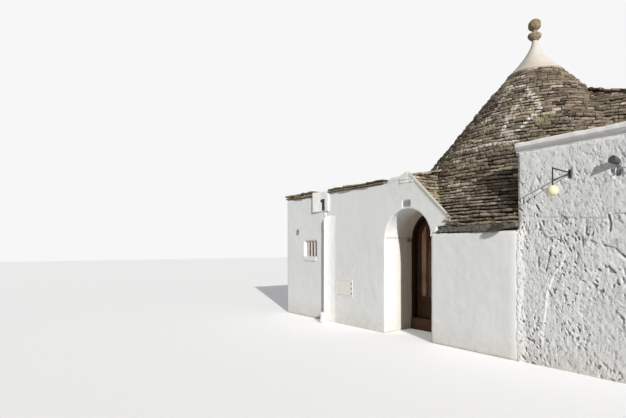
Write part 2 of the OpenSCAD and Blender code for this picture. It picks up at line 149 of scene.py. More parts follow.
# painted shade in the rough wall's holes, and next in its cracks and pits
HOLE_PAINTED_SHADE = (0.27, 0.26, 0.24)
CRACK_PAINTED_SHADE = (0.17, 0.165, 0.15)
VAULT_JOINT = 0.014
SPLASH_TOP = 0.40

# Tones of the roof slabs, from the darkest to the palest, and of what grows on them
SLAB_TONES = ((0.0, (0.065, 0.049, 0.037)), (0.28, (0.155, 0.121, 0.091)),
              (0.60, (0.305, 0.252, 0.190)), (0.85, (0.49, 0.42, 0.32)), (1.0, (0.69, 0.61, 0.49)))
PALE_SPOTS = (0.47, 0.415, 0.335)
DARK_SPOTS = (0.045, 0.034, 0.027)
LICHEN = (0.21, 0.20, 0.11)
RUST = (0.34, 0.19, 0.09)
MOSS = (0.41, 0.37, 0.20)
OLD_PAINT = (0.77, 0.75, 0.69)


def new_material(name):
    """A material with its node tree and surface shader."""
    mat = bpy.data.materials.new(name)
    mat.use_nodes = True
    tree = mat.node_tree
    return mat, tree, tree.nodes["Principled BSDF"]


def add(tree, kind, **values):
    """Adds a node and sets its properties and inputs."""
    made = tree.nodes.new(kind)
    for key, value in values.items():
        if key.startswith("in_"):
            made.inputs[key[3:].replace("_", " ")].default_value = value
        else:
            setattr(made, key, value)
    return made


def feed(tree, socket, value):
    """Gives an input the output of another node, a colour or a number."""
    if isinstance(value, bpy.types.NodeSocket):
        tree.links.new(value, socket)
    elif isinstance(value, tuple):
        socket.default_value = (*value, 1)
    else:
        socket.default_value = value


def coords(tree, stretch=(1, 1, 1)):
    """Object coordinates, stretched."""
    place = add(tree, "ShaderNodeTexCoord")
    mapping = add(tree, "ShaderNodeMapping", in_Scale=stretch)
    tree.links.new(place.outputs["Object"], mapping.inputs["Vector"])
    return mapping.outputs["Vector"]


def position(tree):
    """Object coordinates as the outputs X, Y and Z."""
    place = add(tree, "ShaderNodeTexCoord")
    parts = add(tree, "ShaderNodeSeparateXYZ")
    tree.links.new(place.outputs["Object"], parts.inputs[0])
    return parts.outputs


def ramp(tree, factor, stops):
    """A colour ramp from (place, colour) pairs; a colour may be one grey value."""
    made = add(tree, "ShaderNodeValToRGB")
    elements = made.color_ramp.elements
    while len(elements) < len(stops):
        elements.new(0.5)
    for element, (place, colour) in zip(elements, stops):
        element.position = place
        if isinstance(colour, (int, float)):
            colour = (colour, colour, colour)
        element.color = (*colour, 1)
    tree.links.new(factor, made.inputs["Fac"])
    return made.outputs["Color"]


def noise_node(tree, vector, scale, detail=4, rough=0.55):
    """A noise texture's value."""
    made = add(tree, "ShaderNodeTexNoise", in_Scale=scale, in_Detail=detail, in_Roughness=rough)
    tree.links.new(vector, made.inputs["Vector"])
    return made.outputs["Fac"]


def attribute(tree, name):
    """A face or point attribute's value."""
    return add(tree, "ShaderNodeAttribute", attribute_name=name).outputs["Fac"]


def maths(tree, operation, *values, clamped=False):
    """The result of a Math node, from sockets or numbers."""
    made = add(tree, "ShaderNodeMath", operation=operation, use_clamp=clamped)
    for socket, value in zip(made.inputs, values):
        feed(tree, socket, value)
    return made.outputs[0]


def times(tree, a, b):
    """The product of two values, kept between 0 and 1."""
    return maths(tree, "MULTIPLY", a, b, clamped=True)


def fading(tree, value, start, end, full=1.0):
    """Full at the start of a span, falling to 0 at its end."""
    made = add(tree, "ShaderNodeMapRange", in_From_Min=start, in_From_Max=end,
               in_To_Min=full, in_To_Max=0.0)
    tree.links.new(value, made.inputs["Value"])
    return made.outputs[0]


def mix(tree, factor, a, b, blend="MIX"):
    """Mixes two colours; each may be a socket or a colour."""
    made = add(tree, "ShaderNodeMix", data_type="RGBA", blend_type=blend)
    for number, value in ((0, factor), (6, a), (7, b)):
        feed(tree, made.inputs[number], value)
    return made.outputs[2]


def bump(tree, shader, heights):
    """Bumps from (height socket, strength, distance), one on top of the other."""
    last = None
    for height, strength, distance in heights:
        made = add(tree, "ShaderNodeBump", in_Strength=strength, in_Distance=distance)
        tree.links.new(height, made.inputs["Height"])
        if last is not None:
            tree.links.new(last, made.inputs["Normal"])
        last = made.outputs["Normal"]
    tree.links.new(last, shader.inputs["Normal"])


def shaded(colour, k):
    """A colour made lighter or darker."""
    return tuple(min(1.0, k * c) for c in colour)


def surface(tree, shader, colour, rough, specular=0.5):
    """Sets a surface's colour, how rough it is and how much it mirrors."""
    feed(tree, shader.inputs["Base Color"], colour)
    shader.inputs["Roughness"].default_value = rough
    shader.inputs["Specular IOR Level"].default_value = specular


def plaster_material(name, base, stain, lumps, pitted=False):
    """Lime plaster: brushed and uneven, with faint stains, grime near the ground, and painted
    bounce light and painted shade where its attributes ask for them.
    """
    mat, tree, shader = new_material(name)
    vector = coords(tree)
    wide = noise_node(tree, vector, 1.1, 3)
    fine = noise_node(tree, vector, 9.0, 6, 0.6)
    grain = noise_node(tree, vector, 70.0, 4, 0.7)
    runs = noise_node(tree, coords(tree, (3.0, 3.0, 0.35)), 3.0, 5, 0.6)
    colour = mix(tree, ramp(tree, wide, [(0.40, 0), (0.75, 1)]), base, stain)
    colour = mix(tree, ramp(tree, runs, [(0.50, 0), (0.80, 0.6)]), colour, shaded(stain, 0.96))
    colour = mix(tree, ramp(tree, fine, [(0.62, 0), (0.80, 0.7)]), colour, shaded(base, 0.92))
    # painted warm bounce light: the porch's inner faces turn browner where they lie deeper in shade
    porch_bounce_colour = mix(tree, ramp(tree, runs, [(0.3, 0), (0.7, 1)]), *PORCH_PAINTED_BOUNCE)
    colour = mix(tree, attribute(tree, "warm"), colour, porch_bounce_colour)
    # painted shade along the gable's sunlit right-hand edge
    colour = mix(tree, times(tree, attribute(tree, "rim"), 0.85), colour, RIM_PAINTED_SHADE)
    height = position(tree)["Z"]
    # the joint where the porch's vault rests on its side walls
    level = maths(tree, "COMPARE", height, SPRING_Z, VAULT_JOINT / 2)
    joint = times(tree, level, attribute(tree, "porch"))
    colour = mix(tree, times(tree, joint, 0.6), colour, JOINT_DIRT)
    # rain splash and dirt near the ground
    splash = times(tree, fading(tree, height, 0.02, SPLASH_TOP),
                   ramp(tree, fine, [(0.30, 0.15), (0.70, 1)]))
    colour = mix(tree, times(tree, splash, 0.55), colour, SPLASH_DIRT)
    relief = [(wide, 0.4, 0.02 * lumps), (fine, 0.4, 0.010 * lumps), (grain, 0.25, 0.002)]
    if pitted:
        # small holes between the lumps of lime, with painted shade in them
        holes = noise_node(tree, coords(tree, (1.0, 1.0, 0.55)), 27.0, 4, 0.65)
        patch = ramp(tree, noise_node(tree, vector, 3.0, 3), [(0.38, 0.15), (0.62, 1)])
        depth = times(tree, ramp(tree, holes, [(0.58, 0), (0.66, 1)]), patch)
        colour = mix(tree, times(tree, depth, 0.50), colour, HOLE_PAINTED_SHADE)
        # painted shade in the deep cracks and where flakes have fallen out
        colour = mix(tree, attribute(tree, "shade"), colour, CRACK_PAINTED_SHADE)
        relief.append((ramp(tree, holes, [(0.52, 1), (0.66, 0)]), 0.7, 0.010))
    surface(tree, shader, colour, 0.9, 0.2)
    bump(tree, shader, relief)
    return mat


def slab_material(name, tint=(1, 1, 1)):
    """Weathered limestone slabs, each its own shade, with lichen and old lime paint."""
    mat, tree, shader = new_material(name)
    vector = coords(tree)
    layers = coords(tree, (1.0, 1.0, 4.0))
    stone = ramp(tree, attribute(tree, "shade"), SLAB_TONES)
    spots = noise_node(tree, layers, 15.0, 6, 0.70)
    stone = mix(tree, ramp(tree, spots, [(0.52, 0), (0.70, 0.85)]), stone, PALE_SPOTS)
    stone = mix(tree, ramp(tree, spots, [(0.30, 0.95), (0.47, 0)]), stone, DARK_SPOTS)
    lichen = noise_node(tree, vector, 2.3, 4, 0.6)
    stone = mix(tree, ramp(tree, lichen, [(0.56, 0), (0.72, 0.45)]), stone, LICHEN)
    rust = noise_node(tree, vector, 3.7, 4, 0.6)
    stone = mix(tree, ramp(tree, rust, [(0.60, 0), (0.74, 0.5)]), stone, RUST)
    moss = times(tree, attribute(tree, "moss"), ramp(tree, spots, [(0.38, 0.25), (0.60, 1)]))
    stone = mix(tree, moss, stone, MOSS)
    stone = mix(tree, 1.0, stone, tint, "MULTIPLY")
    worn = times(tree, attribute(tree, "paint"), ramp(tree, spots, [(0.38, 0.15), (0.52, 1)]))
    colour = mix(tree, worn, stone, OLD_PAINT)
    surface(tree, shader, colour, 0.92, 0.15)
    bump(tree, shader, [(spots, 0.7, 0.012)])
    return mat


def stone_material(name, dark, light, stain):
    """Rough field stone with darker hollows and stains."""
    mat, tree, shader = new_material(name)
    vector = coords(tree)
    pits = noise_node(tree, vector, 26.0, 6, 0.7)
    wide = noise_node(tree, vector, 6.0, 4, 0.6)
    colour = ramp(tree, pits, [(0.32, dark), (0.62, light)])
    colour = mix(tree, ramp(tree, wide, [(0.48, 0), (0.70, 0.7)]), colour, stain)
    surface(tree, shader, colour, 0.93, 0.15)
    bump(tree, shader, [(wide, 0.5, 0.02), (pits, 0.7, 0.010)])
    return mat


def plain_material(name, colour, rough=0.6, metal=0.0, grain=0.0, grain_scale=30.0):
    """One colour with a slight grain in tone and surface."""
    mat, tree, shader = new_material(name)
    value = noise_node(tree, coords(tree), grain_scale, 4, 0.6)
    tone = mix(tree, value, shaded(colour, 1 - grain), shaded(colour, 1 + grain))
    surface(tree, shader, tone, rough)
    shader.inputs["Metallic"].default_value = metal
    bump(tree, shader, [(value, 0.3, 0.003)])
    return mat


def timber_material(name, dark, light):
    """Stained timber with an upright grain."""
    mat, tree, shader = new_material(name)
    grain = noise_node(tree, coords(tree, (14, 14, 0.9)), 4.0, 6, 0.6)
    surface(tree, shader, ramp(tree, grain, [(0.3, dark), (0.7, light)]), 0.5, 0.18)
    bump(tree, shader, [(grain, 0.25, 0.002)])
    return mat


def glass_with_painted_reflection(name, dark, light, warm):
    """Old panes in front of a dark room, painted dark as its shade: brown, with a paler upright
    band on each leaf that is a painted reflection.
    """
    mat, tree, shader = new_material(name)
    place = position(tree)
    from_middle = maths(tree, "ABSOLUTE", maths(tree, "SUBTRACT", place["X"], DOOR_X))
    # the paler band is a painted reflection on each leaf
    band = ramp(tree, from_middle,
                [(0.16, dark), (0.19, warm), (0.255, warm), (0.285, light), (0.41, light)])
    # the lowest part of the panes is in the dark
    band = mix(tree, fading(tree, place["Z"], 0.60, 0.80, 0.9), band, dark)
    clouds = noise_node(tree, coords(tree, (2, 2, 0.6)), 2.4, 3)
    band = mix(tree, ramp(tree, clouds, [(0.35, 0), (0.65, 0.6)]), band, dark)
    surface(tree, shader, band, 0.08, 0.35)
    return mat


PLASTER = plaster_material("smooth_plaster", (0.795, 0.800, 0.785), (0.750, 0.757, 0.742), 1.0)
WHITE = plaster_material("white_plaster", (0.815, 0.810, 0.790), (0.77, 0.765, 0.75), 0.7)
ROUGH = plaster_material("rough_plaster", (0.765, 0.768, 0.758), (0.68, 0.685, 0.68), 1.0,
                         pitted=True)
BRIGHT = plaster_material("block_plaster", (0.90, 0.895, 0.88), (0.86, 0.855, 0.84), 0.7)
SKIRT = plaster_material("pinnacle_plaster", (0.63, 0.590, 0.525), (0.47, 0.42, 0.355), 1.6)
SLABS = slab_material("roof_slabs")
COPING = slab_material("coping_slabs", (0.94, 0.90, 0.84))
# the roofs' dark inside is painted shade for the gaps between the slabs
PAINTED_GAP_SHADE = plain_material("roof_gaps_painted_shade", (0.020, 0.016, 0.012), 0.95)
EAVE = stone_material("eave_stone", (0.055, 0.052, 0.042), (0.20, 0.19, 0.155), (0.10, 0.10, 0.075))
STONE = stone_material("pinnacle_stone", (0.13, 0.090, 0.055), (0.42, 0.35, 0.24),
                       (0.27, 0.170, 0.085))
STEP = stone_material("threshold_stone", (0.085, 0.045, 0.027), (0.16, 0.095, 0.06),
                      (0.11, 0.065, 0.04))
DECK = plain_material("terrace_stone", (0.52, 0.50, 0.46), 0.9, grain=0.2, grain_scale=5)
TIMBER = timber_material("dark_timber", (0.030, 0.012, 0.005), (0.080, 0.036, 0.017))
FRAME_TIMBER = timber_material("frame_timber", (0.016, 0.006, 0.002), (0.042, 0.017, 0.007))
PANE = glass_with_painted_reflection("door_glass", (0.040, 0.018, 0.008), (0.52, 0.36, 0.23),
                      (0.14, 0.030, 0.006))
DARK_PANE = plain_material("window_glass", (0.15, 0.105, 0.085), 0.15, grain=0.3, grain_scale=4)
IRON = plain_material("black_iron", (0.018, 0.018, 0.020), 0.5, 0.6, grain=0.2)
GREY = plain_material("grey_metal", (0.30, 0.29, 0.27), 0.5, 0.2, grain=0.1)
METER = plain_material("painted_door", (0.79, 0.78, 0.735), 0.55, grain=0.04)
VENT = plain_material("vent_plastic", (0.47, 0.465, 0.45), 0.5, grain=0.1)
LAMP_IRON = plain_material("grey_iron", (0.085, 0.085, 0.10), 0.5, 0.3, grain=0.2)
# the slot's dark lining is painted shade for the inside of the slot
SLOT_PAINTED_SHADE = plain_material("slot_painted_shade", (0.022, 0.021, 0.020), 0.7, grain=0.3)
BARS = plain_material("painted_bars", (0.62, 0.55, 0.52), 0.55, grain=0.08)
GLOBE = plain_material("lamp_globe", (0.86, 0.78, 0.50), 0.25, grain=0.06, grain_scale=8)

LOOKS = {
    PLASTER: ["front_wall_left", "front_wall_right", "over_door_wall", "left_bay_wall",
              "left_party_wall", "back_wall", "right_party_wall"],
    WHITE: ["gable_cap", "alcove_arch", "corner_pier", "pier_foot_stone", "spout_block",
            "right_coping", "window_frame", "cabinet_box"],
    ROUGH: ["right_front_wall"],
    SKIRT: ["pinnacle_skirt"],
    PAINTED_GAP_SHADE: ["cone_roof", "dormer_roof", "saddle_roof"],
    COPING: ["left_coping", "bay_coping", "party_coping", "back_coping"],
    EAVE: ["front_eave"],
    STONE: ["pinnacle_dish", "pinnacle_ball"],
    STEP: ["threshold_step"],
    DECK: ["left_roof_deck", "floor_slab"],
    TIMBER: ["door_leaf_left", "door_leaf_right"],
    FRAME_TIMBER: ["door_frame"],
    PANE: ["door_glass_left", "door_glass_right"],
    DARK_PANE: ["window_pane"],
    IRON: ["door_handle", "door_hinges", "lamp_bracket"],
    LAMP_IRON: ["wall_spotlight"],
    GREY: ["porch_light"],
    VENT: ["vent_grille"],
    METER: ["cabinet_door"],
    GLOBE: ["lamp_globe"],
}


def dress(obj, mat):
    """Gives an object one material."""
    obj.data.materials.clear()
    obj.data.materials.append(mat)


for look, names in LOOKS.items():
    for piece_name in names:
        dress(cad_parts[piece_name], look)


# Hand-made plaster and stone

SEAM = 0.0012
WAVE_SCALE, RIPPLE_SCALE = 1.1, 6.0


def soften(nodes, mat, voxel, rounds, wave, ripple, shape=None, values=()):
    """One or more nodes' form with rounded corners and the unevenness of handwork.

    shape moves a point, and values holds pairs of an attribute's name and a function.
    """
    parts = [new_object(node + "_part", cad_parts[node].data.copy()) for node in nodes]
    piece = parts[0]
    piece.name = nodes[0] + "_surface"
    if len(parts) > 1:
        with bpy.context.temp_override(active_object=piece, selected_editable_objects=parts):
            bpy.ops.object.join()
    # the walls' thin seams close before the surface is rebuilt
    for vertex in piece.data.vertices:
        vertex.co += vertex.normal * SEAM
    remesh = piece.modifiers.new("remesh", "REMESH")
    remesh.mode = "VOXEL"
    remesh.voxel_size = voxel
    smooth = piece.modifiers.new("smooth", "SMOOTH")
    smooth.factor = 0.5
    smooth.iterations = rounds
    graph = bpy.context.evaluated_depsgraph_get()
    mesh = bpy.data.meshes.new_from_object(piece.evaluated_get(graph))
    piece.modifiers.clear()
    piece.data = mesh
    moved = []
    for vertex in mesh.vertices:
        p = vertex.co
        push = wave * noise.noise(p * WAVE_SCALE)
        push += ripple * noise.fractal(p * RIPPLE_SCALE, 1.0, 2.0, 3)
        q = p + vertex.normal * push
        moved.append(shape(q) if shape else q)
    for vertex, p in zip(mesh.vertices, moved):
        vertex.co = p
    for label, value in values:
        layer = mesh.attributes.new(label, "FLOAT", "POINT")
        layer.data.foreach_set("value", [value(p) for p in moved])
    mesh.shade_smooth()
    dress(piece, mat)
    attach(piece, "house")
    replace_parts(piece, *nodes)
    return piece


def in_porch(p):
    """1 on the porch's inner faces and 0 elsewhere."""
    inside = abs(p.x - DOOR_X) < (DOOR_R - DOOR_L) / 2 + 0.035 and p.z < PORCH_TOP
    return float(inside and p.y > FRONT_Y + 0.03)


def porch_painted_bounce(p):
    """How much painted warm bounce light the porch's inner faces carry: more so further in, where
    they lie in shade.
    """
    return in_porch(p) * min(0.75, max(0.0, (p.y - FRONT_Y - 0.30) / 0.35))


def worn_gable(p):
    """Wears the gable's coping down to a thin edge, and keeps the wall under the slabs."""
    x, y, z = p
    right = x > GABLE_X
    edge_y, roof_z = FRONT_Y + 0.02, 2.52
    if z > 2.0 and y < FRONT_Y:
        y = FRONT_Y - (FRONT_Y - y) * (0.30 if right else 0.45)
    above = z - (GABLE_Z - abs(x - GABLE_X) * (1.0 if right else 0.30))
    if above > -0.01 and y > edge_y:
        y = edge_y + (y - edge_y) * 0.35
    if y > edge_y + 0.04 and z > roof_z and right:
        z = min(z, max(roof_z, dormer_height(x, y) - 0.06))
    return Vector((x, y, z))


def fill_notch(p):
    """Makes the spout's block fill the notch, with its face turned a little to the right."""
    turn, stretch = 0.11, 1.03
    low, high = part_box("spout_block")
    middle = (low + high) / 2
    turned = turn * max(0.0, low.x + 0.27 - p.x) if p.y < low.y + 0.05 else 0.0
    return Vector((middle.x + (p.x - middle.x) * stretch, p.y - turned,
                   middle.z + (p.z - middle.z) * stretch))


def hollow_under(p):
    """Cuts back the lower part of the right wall's coping, so it lies in its own shadow."""
    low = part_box("right_coping")[0]
    under = 1 - step_up(0.060, 0.072, p.z - low.z + 0.012 * noise.noise(p * 2.5))
    back = ROUGH_Y - 0.004 - p.y
    return Vector((p.x, p.y + max(0.0, back) * under, p.z))


def swept_corner(p):
    """Leads the smooth front over to the rough wall, which stands a little back."""
    sweep = step_up(-0.10, 0.0, p.x - ROUGH_X)
    y = p.y + 0.012 * sweep if p.y < FRONT_Y + 0.05 else p.y
    return Vector((p.x + 0.030 * sweep, y, p.z))


def faded_pier(p):
    """Lets the pier's right end run out in the wall's plaster."""
    stays = step_up(-0.005, 0.05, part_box("corner_pier")[1].x - p.x)
    wall_y = FRONT_Y + 0.006
    y = wall_y + (p.y - wall_y) * stays if p.y < FRONT_Y else p.y
    return Vector((p.x, y, p.z))


def gable_rim_painted_shade(p):
    """1 on the right-hand edge of the gable, where painted shade dulls the sunlit rim."""
    under = GABLE_Z - abs(p.x - GABLE_X) - p.z
    return float(p.x > GABLE_X + 0.02 and p.z > 2.2) * (1 - step_up(0.015, 0.045, under))


def flat_bay(p):
    """Keeps the bay's plaster behind the window's sill."""
    y = max(p.y + 0.007, BAY_Y) if p.y < BAY_Y + 0.05 else p.y
    return Vector((p.x, y, p.z))


def walls():
    """The plastered walls that face the street, and the stone and plaster trim."""
    # warm carries painted warm bounce light in the porch, rim painted shade on the gable's
    # right-hand edge
    porch = (("warm", porch_painted_bounce), ("porch", in_porch), ("rim", gable_rim_painted_shade))
    soften(("front_wall_left", "over_door_wall", "gable_cap"), PLASTER, 0.020, 3, 0.008,
           0.0025, worn_gable, porch)
    soften(("front_wall_right",), PLASTER, 0.022, 4, 0.008, 0.0025, swept_corner)
    soften(("left_bay_wall",), PLASTER, 0.022, 4, 0.008, 0.0025, flat_bay)
    soften(("corner_pier",), WHITE, 0.011, 4, 0.007, 0.004, faded_pier)
    soften(("spout_block",), BRIGHT, 0.009, 4, 0.006, 0.004, fill_notch)
    soften(("pier_foot_stone",), WHITE, 0.012, 6, 0.012, 0.012)
    soften(("right_coping",), WHITE, 0.014, 3, 0.008, 0.006, hollow_under)
    soften(("front_eave",), EAVE, 0.010, 5, 0.014, 0.020)
    soften(("pinnacle_dish",), STONE, 0.007, 4, 0.010, 0.012)
    soften(("pinnacle_ball",), STONE, 0.008, 4, 0.008, 0.010)


walls()


def roof_heart(node, voxel, sink):
    """The inside of a roof, a little way behind the slabs' fronts, painted dark as the shade in the
    gaps between them.
    """
    piece = soften((node,), PAINTED_GAP_SHADE, voxel, 0, 0.0, 0.0)
    mesh = piece.data
    moved = [vertex.co - vertex.normal * sink for vertex in mesh.vertices]
    for vertex, p in zip(mesh.vertices, moved):
        vertex.co = p


def pinnacle_skirt():
    """The plaster that closes the cone, drawn down a little over its top courses."""
    build = Builder()
    top_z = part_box("pinnacle_skirt")[1].z
    foot_r, neck_r, hollow = 0.575, 0.054, 1.6
    steps, columns = 30, 72
    rings = []
    for j in range(steps + 1):
        t = j / steps
        ring = []
        for i in range(columns):
            a = 2 * math.pi * i / columns
            drop = 0.018 * noise.noise(Vector((math.sin(a), math.cos(a), 4.0)) * 2.5) * (1 - t)
            z = SKIRT_FOOT_Z + (top_z - SKIRT_FOOT_Z) * t + drop
            r = neck_r + (foot_r - neck_r) * (1 - t) ** hollow
            p = on_ring(a, r, z)
            r += (0.012 * noise.noise(p * 4) + 0.005 * noise.noise(p * 14)) * (1 - t * 0.8)
            ring.append(build.point(on_ring(a, r, z)))
        rings.append(ring)
    build.sheet(rings, closed=True)
    build.face(rings[0][::-1])
    build.face(rings[-1])
    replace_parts(build.finish("pinnacle_plaster", SKIRT, smooth=True), "pinnacle_skirt")


# Slabs

class Builder:
    """Collects points and faces, with values per face."""

    def __init__(self):
        self.points, self.faces, self.shades, self.paints, self.mosses = [], [], [], [], []

    def point(self, p):
        self.points.append(tuple(p))
        return len(self.points) - 1

    def face(self, indices, shade=0.5, paint=0.0, moss=0.0):
        self.faces.append(indices)
        self.shades.append(shade)
        self.paints.append(paint)
        self.mosses.append(moss)

    def sheet(self, rows, closed=False, shades=None):
        """Faces between rows of points; shades holds a value for every point."""
        count = len(rows[0])
        for low, high in zip(rows, rows[1:]):
            for i in range(count if closed else count - 1):
                j = (i + 1) % count
                shade = shades[low[i]] if shades else 0.5
                self.face([low[i], low[j], high[j], high[i]], shade)

    def finish(self, name, mat, smooth=False):
        """Makes the mesh and lets it ride on the house."""
        mesh = bpy.data.meshes.new(name)
        mesh.from_pydata(self.points, [], self.faces)
        for label, values in (("shade", self.shades), ("paint", self.paints),
                              ("moss", self.mosses)):
            mesh.attributes.new(label, "FLOAT", "FACE").data.foreach_set("value", values)
        mesh.update()
        if smooth:
            mesh.shade_smooth()
        obj = new_object(name, mesh)
        dress(obj, mat)
        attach(obj, "house")
        return obj


# A slab's front edge in section: part of its height, and how far that line stands out
SLAB_SECTION = ((0.0, -0.010), (0.30, 0.003), (0.74, 0.002), (1.0, -0.009))


def lay_slab(build, front, depth, height, shade, painter=None, moss=0.0):
    """One slab: front is its lower front edge as points, depth a vector to its back."""
    out = -depth.normalized()
    lines = []
    for part, push in SLAB_SECTION:
        line = []
        for p in front:
            chip = rng.uniform(-0.009, 0.004)
            # the lower and upper edges are broken unevenly
            level = height * part
            if part in (0.0, 1.0):
                level += (1 - 2 * part) * rng.uniform(-0.002, 0.009)
            line.append(build.point(p + out * (push + chip) + Vector((0, 0, level))))
        lines.append(line)
    lift = Vector((0, 0, height))
    ends = (front[0], front[-1], front[-1] + lift, front[0] + lift)
    back = [build.point(p + depth) for p in ends]
    for i in range(len(front) - 1):
        paint = painter((front[i] + front[i + 1]) / 2 + lift / 2) if painter else 0.0
        for low, high in zip(lines, lines[1:]):
            build.face([low[i], low[i + 1], high[i + 1], high[i]], shade, paint, moss)
    top, bottom = lines[-1], lines[0]
    build.face([*top, back[2], back[3]], shade, 0.0, moss)
    # the underside gets a darker tone: painted shade
    build.face([*reversed(bottom), back[0], back[1]], shade * 0.7)
    build.face([*(line[0] for line in lines), back[3], back[0]], shade)
    build.face([*(line[-1] for line in reversed(lines)), back[1], back[2]], shade)


def shade_at(p):
    """A slab's tone: its own, that of its neighbourhood, and painted shade that makes it darker on
    the right.
    """
    # darker is painted shade on the slabs towards the right
    middle, darker = 0.47, 0.17 * step_up(0.0, 1.1, p.x)
    own = rng.gauss(0, 0.21)
    around = 0.22 * noise.noise(p * 1.6)
    return clamp(middle - darker + own + around)


def rim_x(z):
    """Where the roof's courses end at the gable: its edge, and the flush foot under it."""
    flush_top, foot_x, foot_z, lean = 2.26, -0.28, 2.08, 1.22
    z += 0.02 * noise.noise(Vector((z * 30, 0, 0)))
    if z < flush_top:
        return foot_x + lean * (z - foot_z)
    return GABLE_X + GABLE_Z + 0.02 - z


def moss_at(p):
    """Yellow-green growth along the gable's edge and in a few damp patches."""
    beside = 0.0
    if p.y < -2.8 and p.x < 0.5:
        beside = 0.9 - abs(p.x - rim_x(p.z)) / 0.16
    patch = 2.2 * noise.noise(p * 1.7 + Vector((5, 1, 3))) - 0.95
    return clamp(max(beside, patch)) * rng.uniform(0.4, 1.0)


# The lime-painted sign on the front of the cone, as strokes of
# (degrees round the cone from the street front towards +X, height)
SIGN = (
    ((12, 5.00), (0, 5.03), (-5, 4.88), (-6, 4.65), (-8, 4.40), (-13, 4.28)),
    ((21, 4.76), (15, 4.67), (10, 4.42), (8, 4.15), (7.8, 3.75)),
    ((18, 4.90), (25, 4.60), (28, 4.33), (22, 4.12), (15, 3.84), (8, 3.74)),
    ((-13, 4.28), (-4, 4.32), (8, 4.30)),
    ((-24, 3.62), (-10, 3.63), (4, 3.64), (17, 3.63)),
)
SIGN_HALF_WIDTH = 0.040
SLOPE_STRETCH = math.hypot(FOOT_R - SHOULDER_R, SHOULDER_Z - FOOT_Z) / (SHOULDER_Z - FOOT_Z)


def off_line(line, here):
    """A point's distance from a bent line, all on one plane."""
    least = math.inf
    for start, end in zip(line, line[1:]):
        run = Vector(end) - Vector(start)
        along = here - Vector(start)
        t = clamp(along.dot(run) / run.length_squared)
        least = min(least, (along - run * t).length)
    return least


def painted(p):
    """How much lime paint a point of the cone carries."""
    if not 3.4 < p.z < 5.2 or p.y > 0:
        return 0.0
    angle = math.degrees(math.atan2(p.x, -p.y))
    if not -32 < angle < 36:
        return 0.0
    per_degree = math.radians(cone_radius(p.z))
    here = Vector((angle * per_degree, p.z * SLOPE_STRETCH))
    best = min(off_line([(a * per_degree, z * SLOPE_STRETCH) for a, z in stroke], here)
               for stroke in SIGN)
    edge = SIGN_HALF_WIDTH + 0.018 * noise.noise(p * 9)
    fade = 0.80 + 0.6 * noise.noise(p * 3.1 + Vector((2, 7, 1)))
    return clamp((edge + 0.012 - best) / 0.024) * min(1.0, max(0.15, fade))


def course_levels():
    """Height and thickness of every course, the same on all roofs and thinner near the foot."""
    levels = []
    z = FOOT_Z + 0.002
    while z < SKIRT_FOOT_Z - 0.04:
        height = LOW_COURSE + (HIGH_COURSE - LOW_COURSE) * clamp((z - 2.7) / 0.5)
        height += (TOP_COURSE - HIGH_COURSE) * clamp((z - 4.0) / 0.8)
        height *= rng.uniform(0.86, 1.14)
        levels.append((z, height))
        z += height
    return levels


LEVELS = course_levels()


def swayed(p):
    """A point, moved as far as its course strays from the level."""
    stray = 0.014 * noise.noise(Vector((p.x * 0.9, p.y * 0.9, p.z * 2.0)))
    stray += 0.009 * noise.noise(p * 3.4) + 0.006 * noise.noise(p * 8.3)
    return p + Vector((0, 0, stray))


def cone_shows(x, y, z):
    """True where the cone's surface is in the open."""
    if x > ROUGH_X - 0.004 and y < PARAPET_BACK_Y and z < ROUGH_TOP:
        return False
    if x > SADDLE_START_X and saddle_height(x, y) > z + BURIED:
        return False
    if y < -1.9 and x < 0.4 and dormer_height(x, y) > z + BURIED:
        return False
    if y < GABLE_BACK_Y and x < rim_x(z):
        return False
    if x < GABLE_X or y > 0 or x > ROUGH_X:
        return z > TERRACE_Z - BURIED
    return True


def open_stretches(shows, total):
    """Stretches of a line from 0 to total along which a test holds."""
    count = max(2, int(total / 0.02))
    stretches, start = [], None
    for i in range(count + 1):
        at = total * i / count
        if shows(at):
            start = at if start is None else start
        elif start is not None:
            stretches.append((start, at))
            start = None
    if start is not None:
        stretches.append((start, total))
    return stretches


def slab_lengths(start, end):
    """Splits a stretch into slabs of uneven lengths, as (start, length)."""
    pieces, at = [], start
    while at < end - 0.01:
        size = SLAB_LENGTH * rng.uniform(0.5, 1.4)
        if end - at - size < 0.10:
            size = end - at
        pieces.append((at, size))
        at += size
    return pieces


def spread(start, size, parts):
    """Places along a slab's front, between the gaps at its ends."""
    return [start + GAP + (size - 2 * GAP) * i / parts for i in range(parts + 1)]


def cone_slabs():
    """Ring after ring of rough slabs, each ring a little smaller than the one under it."""
    build = Builder()
    first = math.pi / 2
    for z, height in LEVELS:
        radius = cone_radius(z + height / 2)

        def shows(at):
            angle = first + at / radius
            return cone_shows(radius * math.sin(angle), -radius * math.cos(angle), z)

        for start, end in open_stretches(shows, 2 * math.pi * radius):
            for at, size in slab_lengths(start, end):
                lay_ring_slab(build, first + at / radius, size, radius, z, height)
    build.finish("cone_slabs", SLABS)


def lay_ring_slab(build, angle, size, radius, z, height):
    """One slab of a ring; where the cone would pass the street front, it stays flush."""
    proud = rng.uniform(*SLAB_PROUD)
    tilt = rng.uniform(-0.006, 0.006)
    facing = on_ring(angle + size / radius / 2, 1.0)
    near_sign = 3.45 < z < 5.15 and facing.y < -0.7
    parts = max(3, round(size / 0.03)) if near_sign else 4
    front = []
    for i, at in enumerate(spread(0.0, size, parts)):
        a = angle + at / radius
        r = radius + proud + rng.uniform(-0.005, 0.005)
        if i in (0, parts):
            r -= rng.uniform(0, 0.012)
        p = on_ring(a, r, z + tilt * (i / parts - 0.5))
        p.y = max(p.y, EAVE_Y + 0.012 - proud * 0.6 - rng.uniform(0, 0.004))
        front.append(swayed(p))
    centre = front[len(front) // 2]
    lay_slab(build, front, facing * -SLAB_BACK, height * rng.uniform(*SLAB_FILL),
             shade_at(centre), painted if near_sign else None, moss_at(centre))


